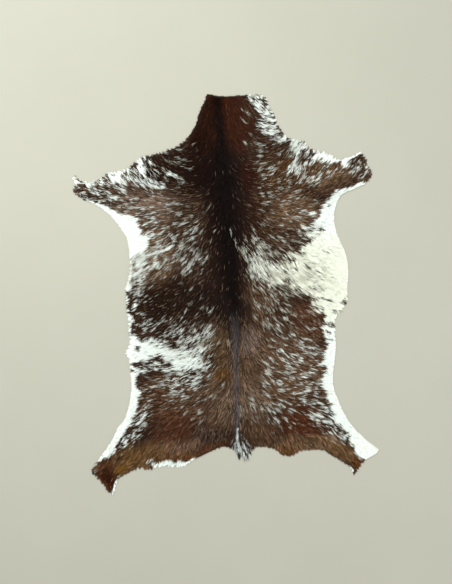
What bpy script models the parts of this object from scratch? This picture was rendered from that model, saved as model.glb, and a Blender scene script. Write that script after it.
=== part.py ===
"""Goatskin rug: one whole tanned goat hide with its hair on, lying flat on the floor.

The hide is one closed solid. Its outline is the photographed one, read as named stretches
that run clockwise from the neck. The underside is flat where the hide rests. The top is the
lumpy surface of the pile: it follows the lie of the hair, stands highest along the back,
thins towards the rim and over the smooth strips of belly and leg, and ends at the rim in
tapered locks of hair.

Frame: +Z up, +Y from tail to neck, +X to the right as seen from above with the neck away
from the viewer. The origin is under the middle of the hide, at floor level.
"""

import math
import random
from collections import namedtuple

import bmesh
import bpy
import numpy as np
from mathutils import Vector, geometry

MM = 0.001

# Driving sizes, in millimetres
SKIN = 1.6  # the tanned skin itself
PILE = 7.2  # pile over the body, lying down
RIM_HEIGHT = 2.6  # skin and pile at a cut rim
NOTCH_HEIGHT = 2.4  # between two locks at the rim
TIP_HEIGHT = 1.2  # at the tip of a rim lock
RIM_SLOPE = 26.0  # how far in from the rim the pile reaches its full height
SLOPE_POWER = 0.8  # below 1 the pile rises steeply at the rim and then levels off
OUTLINE_STEP = 2.0  # spacing of the samples along the smooth outline
TANGENT_SPAN = 3  # samples to each side of a place that give the outline's direction there
GRID_STEP = 14.0  # spacing of points over the pile
GRID_JITTER = 0.12  # how far each is moved, as a share of the spacing
RIM_CLEARANCE = 7.0  # least distance from the rim to those points
MERGE = 1e-6  # points nearer than this are one point

# The locks of hair at the rim
SHORTEST_LOCK = 1.5  # a rim with shorter hair than this is cut clean
LOCK_WIDTHS = (0.7, 1.35)  # least and greatest width of a lock, as a share of the rim's pitch
NOTCH_DEPTHS = (0.6, 1.0)  # how deep the notch beside it goes, as a share of the lock's length
TIPS_SHORT = (0.0, 0.3)  # how far its tip ends short of the outline, as a share of its length
LOCK_LEAN = 0.6  # how far it leans along the rim with the hair, as a share of its notch's depth
MOST_LEAN = 0.4  # and at most, as a share of its width
LAST_LOCK = 0.6  # the last one starts at least this share of its pitch before the first one
CORNER_REACH = 9.0  # how far to each side of a corner its locks are shorter
CORNER_BENDS = (0.1, 0.9)  # cosines of the turn there with no locks at all and with full locks
# The corners of a lock after the notch it starts from: the share of its width along the rim,
# the share of the way out to its tip, and the height there
LOCK_SHAPE = [(0.25, 0.45, 2.0), (0.52, 1.0, TIP_HEIGHT), (0.78, 0.4, 2.0)]

# The soft lumps in the pile
LUMP_STEP = 36.0  # their spacing
LUMP_JITTER = 0.3  # how far each is moved, as a share of the spacing
LUMP_LENGTH = 32.0  # half length, along the hair
LUMP_WIDTH = 12.0  # half width, across the hair
LUMP_HEIGHT = 2.2
LUMP_STRENGTHS = (-0.6, 1.0)  # from the deepest hollow to the highest lump
SMOOTH_FADE = 0.7  # how soon the pile thins towards the middle of a smooth place

SEED = 11
SHARP_ANGLE = 40.0  # edges that turn more degrees than this are shaded sharp
HIDE_COLOUR = (0.055, 0.028, 0.017, 1.0)
HIDE_ROUGHNESS = 0.62

# The outline as far as the hair reaches, clockwise from the left corner of the neck. lock is
# the length of the rim locks along the stretch, and 0 where the points themselves give the
# rim; pitch is the width of a lock, or the spacing of the points along a plain rim.
Stretch = namedtuple("Stretch", "name lock pitch points")
OUTLINE = [
    Stretch("neck cut", 3, 10, [(-50, 548), (-18, 544), (26, 545), (67, 548), (99, 548)]),
    Stretch("right of neck", 8, 11, [(113, 538), (122, 516), (135, 494), (146, 465), (162, 441)]),
    Stretch("right of neck base", 8, 11, [(178, 429)]),
    Stretch("right shoulder", 14, 11, [(203, 428), (219, 421), (235, 403), (260, 397), (287, 390)]),
    Stretch("right shoulder point", 14, 11, [(309, 374)]),
    Stretch("right foreleg front", 9, 10, [(325, 375), (347, 383), (367, 391)]),
    Stretch("right forefoot", 9, 9, [(385, 377), (390, 356), (403, 337), (398, 315)]),
    Stretch("right foreleg back", 0, 13, [(377, 301), (352, 289), (325, 280)]),
    Stretch("right armpit", 0, 13, [(311, 267), (301, 244), (296, 214), (303, 168)]),
    Stretch("right belly", 0, 13, [(317, 138), (329, 106), (335, 65), (333, 21)]),
    Stretch("right belly tufts", 11, 11, [(335, -20), (325, -41), (306, -60), (303, -96)]),
    Stretch("right flank", 0, 13, [(301, -145), (294, -210), (294, -248), (306, -283), (320, -316)]),
    Stretch("right hind leg", 0, 13, [(341, -351), (369, -383), (401, -408)]),
    Stretch("right foot cut", 0, 13, [(419, -424), (398, -441), (382, -450)]),
    Stretch("right hind foot", 9, 9, [(374, -463), (360, -485), (351, -493)]),
    Stretch("right rump", 6, 10, [(339, -474), (320, -459), (292, -441), (257, -425), (222, -426)]),
    Stretch("right rump lobe", 7, 10, [(203, -431), (178, -443), (151, -438), (132, -424), (99, -418)]),
    Stretch("tail, right locks", 0, 4, [(79, -419), (73, -438), (67, -431), (68, -456), (61, -441)]),
    Stretch("tail, middle locks", 0, 4, [(58, -462), (52, -445), (44, -461), (43, -441)]),
    Stretch("tail, left locks", 0, 4, [(34, -452), (33, -434), (24, -439)]),
    Stretch("tail root", 0, 6, [(23, -424), (13, -419)]),
    Stretch("left rump", 6, 10, [(-7, -415), (-29, -425), (-50, -430), (-75, -441), (-97, -459)]),
    Stretch("left rump fringe", 13, 11, [(-118, -474), (-151, -474), (-184, -474), (-205, -482)]),
    Stretch("left rump corner", 13, 11, [(-230, -478)]),
    Stretch("left hind leg back", 8, 10, [(-260, -487), (-287, -501), (-295, -520), (-306, -548)]),
    Stretch("left hind foot", 12, 9, [(-325, -537), (-344, -513), (-366, -487), (-367, -474)]),
    Stretch("left hind leg", 3, 11, [(-347, -447), (-325, -417), (-307, -390), (-295, -362)]),
    Stretch("left hind leg top", 3, 11, [(-276, -338)]),
    Stretch("left thigh", 0, 13, [(-265, -311), (-260, -283), (-256, -248), (-260, -210)]),
    Stretch("left flank", 12, 11, [(-266, -180), (-276, -161), (-267, -131), (-268, -98), (-272, -55)]),
    Stretch("left belly", 10, 11, [(-275, -20), (-275, 24), (-268, 54)]),
    Stretch("left armpit", 0, 13, [(-261, 89), (-264, 133), (-271, 160), (-287, 184), (-309, 212)]),
    Stretch("left foreleg back", 0, 13, [(-330, 231), (-355, 248), (-382, 257)]),
    Stretch("left forefoot", 9, 9, [(-404, 267), (-418, 284), (-415, 301), (-418, 319)]),
    Stretch("left forefoot point", 9, 9, [(-409, 327), (-396, 316)]),
    Stretch("left foreleg front", 14, 11, [(-366, 314), (-341, 323), (-320, 339), (-290, 341)]),
    Stretch("left foreleg top", 14, 11, [(-254, 363)]),
    Stretch("left shoulder", 11, 11, [(-230, 380), (-205, 386), (-170, 397), (-135, 409), (-116, 425)]),
    Stretch("left of neck", 4, 11, [(-97, 440), (-87, 459), (-80, 475), (-72, 503), (-60, 528)]),
]

# The line of the back: its distance across the hide at places along it, with the height and
# half width of the ridge of longer hair there.
Spine = namedtuple("Spine", "y x ridge half_width")
BACK = [
    Spine(560, -24, 1.4, 20),
    Spine(480, -18, 1.8, 22),
    Spine(400, -13, 2.2, 26),
    Spine(300, -4, 2.8, 32),
    Spine(200, 5, 3.0, 31),
    Spine(100, 13, 2.6, 28),
    Spine(-20, 20, 2.0, 20),
    Spine(-80, 25, 1.8, 16),
    Spine(-150, 27, 1.6, 13),
    Spine(-290, 30, 1.4, 11),
    Spine(-430, 36, 1.0, 16),
]

# The lie of the hair: its angle in degrees at the places OUT, in millimetres out from the back,
# 0 straight out, 90 towards the neck and -90 towards the tail. Both sides mirror each other.
OUT = (0, 45, 100, 200, 300)
Lie = namedtuple("Lie", "y angles")
HAIR = [
    Lie(540, (-90, -66, -40, -10, 20)),
    Lie(450, (-90, -60, -22, 40, 50)),
    Lie(400, (-90, -54, -5, 52, 60)),
    Lie(350, (-90, -48, 14, 62, 54)),
    Lie(310, (-90, -46, 10, 52, 40)),
    Lie(270, (-90, -48, -6, 15, 12)),
    Lie(230, (-90, -50, -16, -5, -8)),
    Lie(150, (-90, -58, -36, -20, -26)),
    Lie(100, (-90, -66, -54, -34, -35)),
    Lie(-20, (-90, -62, -50, -34, -28)),
    Lie(-90, (-90, -58, -46, -34, -24)),
    Lie(-150, (-90, -52, -36, -12, -8)),
    Lie(-210, (-90, -48, -25, -6, -4)),
    Lie(-270, (-90, -50, -22, -6, -4)),
    Lie(-350, (-90, -66, -50, -28, -32)),
    Lie(-430, (-90, -86, -82, -65, -50)),
]

# Smooth places where the pile is short: centre, half length and half width of each, the turn
# of its long side from +X in degrees, and the height of the pile there.
Smooth = namedtuple("Smooth", "name x y half_length half_width turn pile")
SMOOTH = [
    Smooth("left armpit", -262, 168, 70, 34, -52, 2.6),
    Smooth("right armpit", 292, 205, 52, 24, 80, 3.0),
    Smooth("right belly", 318, 70, 62, 30, 88, 3.4),
    Smooth("right flank", 290, -215, 120, 16, 92, 2.4),
    Smooth("right hind leg", 372, -412, 62, 26, -38, 1.6),
    Smooth("left hind leg", -285, -350, 92, 18, 62, 2.6),
    Smooth("neck cut", 30, 545, 95, 16, 0, 4.6),
]

# Soft folds in the skin, from one place to another: a trough where height is below 0.
Fold = namedtuple("Fold", "name x0 y0 x1 y1 half_width height")
FOLDS = [
    Fold("left rump crease", -104, -320, -103, -425, 9, -1.8),
    Fold("beside the left rump crease", -126, -315, -128, -420, 13, 1.3),
    Fold("small rump crease", -28, -368, 2, -400, 7, -1.3),
    Fold("left shoulder pucker", -215, 215, -120, 262, 16, 1.4),
    Fold("left armpit pucker", -250, 120, -150, 150, 14, -1.4),
    Fold("right armpit pucker", 285, 170, 190, 190, 14, -1.4),
    Fold("right shoulder pucker", 230, 230, 140, 270, 18, 1.3),
    Fold("left thigh swell", -215, -330, -140, -300, 26, 1.5),
    Fold("right thigh swell", 250, -350, 170, -310, 26, 1.5),
    Fold("right belly swell", 290, 40, 230, 80, 26, 1.4),
    Fold("tail root", 33, -360, 50, -440, 17, 3.2),
]


def smooth_outline():
    """Samples (x, y, lock, pitch) of the closed curve through the outline's points."""
    knots = []
    for stretch in OUTLINE:
        for x, y in stretch.points:
            knots.append((x, y, stretch.lock, stretch.pitch))
    knots = np.array(knots, float)
    count = len(knots)
    samples = []
    for i in range(count):
        before, start, end, after = (knots[(i + k) % count] for k in (-1, 0, 1, 2))
        # centripetal spacing keeps the curve from looping at the short steps near a corner
        t0 = 0.0
        t1 = t0 + math.sqrt(np.linalg.norm(start[:2] - before[:2]))
        t2 = t1 + math.sqrt(np.linalg.norm(end[:2] - start[:2]))
        t3 = t2 + math.sqrt(np.linalg.norm(after[:2] - end[:2]))
        steps = max(2, round(np.linalg.norm(end[:2] - start[:2]) / OUTLINE_STEP))
        for t in np.linspace(t1, t2, steps, endpoint=False):
            a1 = before * (t1 - t) / (t1 - t0) + start * (t - t0) / (t1 - t0)
            a2 = start * (t2 - t) / (t2 - t1) + end * (t - t1) / (t2 - t1)
            a3 = end * (t3 - t) / (t3 - t2) + after * (t - t2) / (t3 - t2)
            b1 = a1 * (t2 - t) / (t2 - t0) + a2 * (t - t0) / (t2 - t0)
            b2 = a2 * (t3 - t) / (t3 - t1) + a3 * (t - t1) / (t3 - t1)
            samples.append(b1 * (t2 - t) / (t2 - t1) + b2 * (t - t1) / (t2 - t1))
    return np.array(samples)


def back_line(y, column):
    """A column of the table BACK at places y along the hide."""
    return np.interp(-y, [-row.y for row in BACK], [getattr(row, column) for row in BACK])


def hair_direction(points):
    """Unit vectors along the hair at points (an N x 2 array), from the rows of HAIR."""
    points = np.atleast_2d(points)
    away = points[:, 0] - back_line(points[:, 1], "x")
    place = np.interp(np.abs(away), OUT, np.arange(len(OUT)))
    left = np.minimum(place.astype(int), len(OUT) - 2)
    share = place - left
    levels = [-row.y for row in HAIR]
    every = np.arange(len(points))
    direction = np.zeros((len(points), 2))
    for axis, part_of in enumerate((math.cos, math.sin)):
        columns = []
        for i in range(len(OUT)):
            values = [part_of(math.radians(row.angles[i])) for row in HAIR]
            columns.append(np.interp(-points[:, 1], levels, values))
        columns = np.array(columns)
        direction[:, axis] = columns[left, every] * (1 - share) + columns[left + 1, every] * share
    direction[:, 0] *= np.where(away < 0, -1.0, 1.0)
    return direction / np.linalg.norm(direction, axis=1)[:, None]


def rim_with_locks(outline, chance):
    """The rim as a closed ring of (x, y, height): cut clean, or notched into tapered locks."""
    places = outline[:, :2]
    gaps = np.linalg.norm(np.roll(places, -1, axis=0) - places, axis=1)
    along = np.concatenate([[0.0], np.cumsum(gaps)])
    length = along[-1]

    def at(s):
        s = s % length
        i = min(int(np.searchsorted(along, s, side="right")) - 1, len(places) - 1)
        f = (s - along[i]) / gaps[i]
        here = outline[i] * (1 - f) + outline[(i + 1) % len(outline)] * f
        ahead, behind = places[(i + TANGENT_SPAN) % len(places)], places[i - TANGENT_SPAN]
        tangent = (ahead - behind) / np.linalg.norm(ahead - behind)
        outward = np.array([-tangent[1], tangent[0]])  # the outline runs clockwise
        return here[:2], tangent, outward, max(0.0, here[2]), here[3]

    ring = []
    s = 0.0
    while s < length - LAST_LOCK * outline[-1, 3]:
        place, tangent, outward, lock, pitch = at(s)
        bend = at(s - CORNER_REACH)[1] @ at(s + CORNER_REACH)[1]
        lock *= np.interp(bend, CORNER_BENDS, (0, 1))
        if lock < SHORTEST_LOCK:
            ring.append((*place, RIM_HEIGHT))
            s += pitch
            continue
        width = pitch * chance.uniform(*LOCK_WIDTHS)
        depth = lock * chance.uniform(*NOTCH_DEPTHS)
        short = lock * chance.uniform(*TIPS_SHORT)
        ring.append((*(place - outward * depth), NOTCH_HEIGHT))
        for share, out, height in LOCK_SHAPE:
            place, tangent, outward, _, _ = at(s + share * width)
            lean = hair_direction(place)[0] @ tangent * depth * LOCK_LEAN
            lean = np.clip(lean, -MOST_LEAN * width, MOST_LEAN * width)
            corner = place - outward * (depth + (short - depth) * out) + tangent * lean * out
            ring.append((*corner, height))
        s += width
    return np.array(ring)


def is_inside(points, ring):
    """Whether each point lies in the ring, by counting the rim edges that a ray crosses."""
    inside = np.zeros(len(points), bool)
    x, y = points[:, 0], points[:, 1]
    for (x0, y0), (x1, y1) in zip(ring, np.roll(ring, -1, axis=0), strict=True):
        if y0 == y1:
            continue
        crosses = (y0 > y) != (y1 > y)
        inside ^= crosses & (x < (x1 - x0) * (y - y0) / (y1 - y0) + x0)
    return inside


def rim_distance(points, ring):
    """The distance from each point to the nearest edge of the ring."""
    nearest = np.full(len(points), np.inf)
    for start, end in zip(ring, np.roll(ring, -1, axis=0), strict=True):
        edge = end - start
        f = np.clip((points - start) @ edge / (edge @ edge), 0, 1)
        nearest = np.minimum(nearest, np.linalg.norm(points - start - f[:, None] * edge, axis=1))
    return nearest


def hex_points(low, high, step, jitter, chance):
    """Points in rows of a honeycomb that fills the box from low to high, each moved a little."""
    points = []
    row_gap = step * math.sqrt(0.75)
    rows = int((high[1] - low[1]) / row_gap) + 2
    columns = int((high[0] - low[0]) / step) + 2
    for row in range(rows):
        for column in range(columns):
            x = low[0] + (column + 0.5 * (row % 2)) * step + chance.uniform(-jitter, jitter)
            y = low[1] + row * row_gap + chance.uniform(-jitter, jitter)
            points.append((x, y))
    return np.array(points)


def rise(points, edge, chance):
    """The height of the top over the floor at points that lie edge millimetres in from the rim."""
    x, y = points[:, 0], points[:, 1]
    pile = np.full(len(points), PILE)
    for spot in SMOOTH:
        turn = math.radians(spot.turn)
        u = ((x - spot.x) * math.cos(turn) + (y - spot.y) * math.sin(turn)) / spot.half_length
        v = ((y - spot.y) * math.cos(turn) - (x - spot.x) * math.sin(turn)) / spot.half_width
        share = np.exp(-((u * u + v * v) ** 2) * SMOOTH_FADE)
        pile = pile * (1 - share) + spot.pile * share
    lumps = np.zeros(len(points))
    low, high = points.min(axis=0), points.max(axis=0)
    for centre in hex_points(low, high, LUMP_STEP, LUMP_STEP * LUMP_JITTER, chance):
        lie = hair_direction(centre)[0]
        u = ((x - centre[0]) * lie[0] + (y - centre[1]) * lie[1]) / LUMP_LENGTH
        v = ((y - centre[1]) * lie[0] - (x - centre[0]) * lie[1]) / LUMP_WIDTH
        lumps += chance.uniform(*LUMP_STRENGTHS) * np.exp(-(u * u + v * v))
    from_back = (x - back_line(y, "x")) / back_line(y, "half_width")
    back = back_line(y, "ridge") * np.exp(-(from_back**2))
    folds = np.zeros(len(points))
    for fold in FOLDS:
        run = np.array([fold.x1 - fold.x0, fold.y1 - fold.y0], float)
        f = np.clip(((x - fold.x0) * run[0] + (y - fold.y0) * run[1]) / (run @ run), 0, 1)
        off = np.hypot(x - fold.x0 - f * run[0], y - fold.y0 - f * run[1])
        folds += fold.height * np.exp(-((off / fold.half_width) ** 2))
    slope = np.clip(edge / RIM_SLOPE, 0, 1)
    slope = np.sin(slope * math.pi / 2) ** SLOPE_POWER
    full = SKIN + pile + back + folds + LUMP_HEIGHT * lumps * pile / PILE
    return np.maximum(RIM_HEIGHT + (full - RIM_HEIGHT) * slope, RIM_HEIGHT)


def pelt_material(name, colour, roughness):
    material = bpy.data.materials.new(name)
    material.use_nodes = True
    shader = material.node_tree.nodes["Principled BSDF"]
    shader.inputs["Base Color"].default_value = colour
    shader.inputs["Roughness"].default_value = roughness
    shader.inputs["Metallic"].default_value = 0.0
    return material


def hide_mesh(name):
    """The closed hide: the pile's surface over the rim and grid points, walled down to a flat base."""
    chance = random.Random(SEED)
    ring = rim_with_locks(smooth_outline(), chance)
    rim = ring[:, :2]
    grid = hex_points(rim.min(axis=0), rim.max(axis=0), GRID_STEP, GRID_STEP * GRID_JITTER, chance)
    grid = grid[is_inside(grid, rim)]
    edge = rim_distance(grid, rim)
    grid, edge = grid[edge > RIM_CLEARANCE], edge[edge > RIM_CLEARANCE]
    heights = np.concatenate([ring[:, 2], rise(grid, edge, chance)])

    flat = [Vector(p) for p in np.concatenate([rim, grid])]
    loop = [(i, (i + 1) % len(rim)) for i in range(len(rim))]
    spots, _, faces, origins, _, _ = geometry.delaunay_2d_cdt(flat, loop, [], 1, MERGE)
    middle = (rim.min(axis=0) + rim.max(axis=0)) / 2

    bm = bmesh.new()
    tops = []
    for spot, origin in zip(spots, origins, strict=True):
        height = heights[origin[0]]
        tops.append(bm.verts.new(((spot.x - middle[0]) * MM, (spot.y - middle[1]) * MM, height * MM)))
    for face in faces:
        bm.faces.new([tops[i] for i in face])
    rims = [e for e in bm.edges if e.is_boundary]
    walls = bmesh.ops.extrude_edge_only(bm, edges=rims)["geom"]
    for vertex in (g for g in walls if isinstance(g, bmesh.types.BMVert)):
        vertex.co.z = 0.0
    base = [e for e in bm.edges if e.is_boundary]
    bmesh.ops.triangle_fill(bm, edges=base, use_beauty=True, normal=Vector((0, 0, -1)))
    bmesh.ops.recalc_face_normals(bm, faces=bm.faces)
    mesh = bpy.data.meshes.new(name)
    bm.to_mesh(mesh)
    bm.free()
    return mesh


def main():
    for existing in list(bpy.data.objects):
        bpy.data.objects.remove(existing, do_unlink=True)
    collection = bpy.data.collections.new("goatskin_rug")
    bpy.context.scene.collection.children.link(collection)
    hide = bpy.data.objects.new("hide", hide_mesh("hide"))
    hide.data.materials.append(pelt_material("goat pelt", HIDE_COLOUR, HIDE_ROUGHNESS))
    hide.data.shade_smooth()
    hide.data.set_sharp_from_angle(angle=math.radians(SHARP_ANGLE))
    collection.objects.link(hide)


main()
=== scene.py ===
import math
from collections import namedtuple

import bpy
import numpy as np
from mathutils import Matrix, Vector, geometry
from mathutils.bvhtree import BVHTree
from mathutils.kdtree import KDTree


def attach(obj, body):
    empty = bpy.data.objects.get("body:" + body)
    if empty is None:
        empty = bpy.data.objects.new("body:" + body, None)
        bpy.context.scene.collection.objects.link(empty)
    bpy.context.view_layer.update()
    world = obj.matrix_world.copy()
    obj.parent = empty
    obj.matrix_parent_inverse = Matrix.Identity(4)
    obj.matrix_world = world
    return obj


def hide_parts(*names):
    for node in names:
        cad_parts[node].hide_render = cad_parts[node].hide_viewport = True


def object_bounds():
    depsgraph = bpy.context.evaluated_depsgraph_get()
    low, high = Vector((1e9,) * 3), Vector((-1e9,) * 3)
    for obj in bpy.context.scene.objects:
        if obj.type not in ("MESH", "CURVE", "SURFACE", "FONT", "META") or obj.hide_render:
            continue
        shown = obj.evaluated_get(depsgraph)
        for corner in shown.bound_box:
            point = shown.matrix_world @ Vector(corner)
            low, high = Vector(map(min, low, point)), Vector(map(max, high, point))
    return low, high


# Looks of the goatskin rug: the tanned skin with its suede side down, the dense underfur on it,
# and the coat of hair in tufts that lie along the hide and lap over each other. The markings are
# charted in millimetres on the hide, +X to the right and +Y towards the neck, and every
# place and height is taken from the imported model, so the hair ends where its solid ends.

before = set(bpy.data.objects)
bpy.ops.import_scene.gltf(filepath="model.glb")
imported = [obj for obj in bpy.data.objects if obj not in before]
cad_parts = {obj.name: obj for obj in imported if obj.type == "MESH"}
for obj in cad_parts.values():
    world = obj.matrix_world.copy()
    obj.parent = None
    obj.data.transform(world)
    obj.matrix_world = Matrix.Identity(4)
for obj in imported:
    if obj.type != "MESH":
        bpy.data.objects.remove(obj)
cad_low, cad_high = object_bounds()

MM = 0.001
SEED = 5

# The skin and the hair on it, in millimetres
SKIN = 1.6  # thickness of the tanned skin
CLEAN_RIM = 2.3  # the rim stands higher than this where it isn't inside a lock of hair
LOCK_TIP = 1.5  # and lower than this at a lock's tip
TAIL_SKIN_END = -415.0  # the skin of the tail ends here, and only hair goes on
TAIL_REACH = 100.0  # the tail lies within this of the middle, and the hind legs further out
FULL_PILE = 7.2  # height of the coat over the skin where the hair is longest
UNDERFUR = 0.5  # height of the underfur, as a share of the coat's
HAIR_LENGTH = 19.0  # the part of a hair that shows above the underfur
HAIR_WIDTH = 1.15
SHORTEST_HAIR = 3.0
PAST_RIM = (0.2, 3.2)  # how far past the solid's rim a hair may reach, drawn for each one
TUFT_STEP = 6.5  # distance between tufts
TUFT_HAIRS = 9
TAIL_LOCK_HAIRS = 56
COAT_MIXING = 0.46  # how far white and dark hairs mix at the edge of a marking
LOCK_MIXING = 0.3  # and in the locks at the rim
SKIN_STEP = 16.0  # distance between the points of the skin's mesh
UNDERFUR_STEP = 5.0
HEIGHT_CELL = 3.0  # distance between the points of the chart of heights
COLOUR_CELL = 1.5  # and of the chart of colours
CHART_MARGIN = 6.0  # how far the charts go on past the rim
NOISE_SIZE = 512  # points along each side of the square of random numbers behind the noise

# The camera, straight above the rug, in metres
CAMERA_VIEW = 1.588  # the floor along the long side of the picture
CAMERA_CENTRE = (0.0014, 0.0076)

# Colours of the hair, as seen (red, green, blue from 0 to 255)
BLACK = (13, 6, 4)
NEAR_BLACK = (25, 12, 8)
DARK = (52, 36, 27)
SLATE = (80, 79, 88)
CHESTNUT = (54, 26, 11)
RUSSET = (80, 49, 31)
BROWN = (86, 65, 47)
TAWNY = (95, 78, 68)
GINGER = (98, 66, 35)
# tan hairs: partly lighter hairs and partly painted sheen on the dark coat
TAN_AND_SHEEN = (158, 138, 115)
TAIL_DARK = (52, 44, 38)
WHITE = (238, 247, 241)
CREAM = (236, 241, 225)

DIM_HAIR = np.array([0.95, 1.0, 1.1])  # what pale hair loses of each where it is less bright
WARM_HAIR = np.array([1.0, 0.95, 0.87])  # what dark hair keeps of each

# The line of the back from the neck to the tail: its place across the hide, half the width of
# the dark stripe along it, and how strongly the stripe shows
Spine = namedtuple("Spine", "y x half_width strength")
BACK = [
    Spine(560, -24, 13, 0.75),
    Spine(480, -18, 15, 0.9),
    Spine(430, -14, 18, 1.0),
    Spine(380, -12, 26, 1.0),
    Spine(300, -4, 34, 1.0),
    Spine(200, 5, 30, 1.0),
    Spine(100, 13, 26, 1.0),
    Spine(20, 18, 25, 1.0),
    Spine(-30, 22, 18, 0.85),
    Spine(-80, 25, 11, 0.75),
    Spine(-130, 27, 8, 0.7),
    Spine(-360, 31, 7, 0.75),
    Spine(-430, 36, 7, 0.4),
]

# The lie of the hair: its angle in degrees at the places OUT, in millimetres out from the back,
# 0 straight out, 90 towards the neck and -90 towards the tail. Both sides mirror each other.
OUT = (0, 45, 100, 200, 300)
Lie = namedtuple("Lie", "y angles")
HAIR = [
    Lie(540, (-90, -66, -40, -10, 20)),
    Lie(450, (-90, -60, -22, 40, 50)),
    Lie(400, (-90, -54, -5, 52, 60)),
    Lie(350, (-90, -48, 14, 62, 45)),
    Lie(310, (-90, -46, 10, 50, 34)),
    Lie(270, (-90, -48, -6, 15, 12)),
    Lie(230, (-90, -50, -16, -5, -8)),
    Lie(150, (-90, -58, -36, -20, -26)),
    Lie(100, (-90, -66, -54, -34, -35)),
    Lie(-20, (-90, -62, -50, -34, -28)),
    Lie(-90, (-90, -58, -46, -34, -24)),
    Lie(-150, (-90, -52, -36, -12, -8)),
    Lie(-210, (-90, -48, -25, -6, -4)),
    Lie(-270, (-90, -50, -22, -6, -4)),
    Lie(-350, (-90, -66, -50, -28, -32)),
    Lie(-430, (-90, -86, -82, -65, -50)),
]
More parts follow.
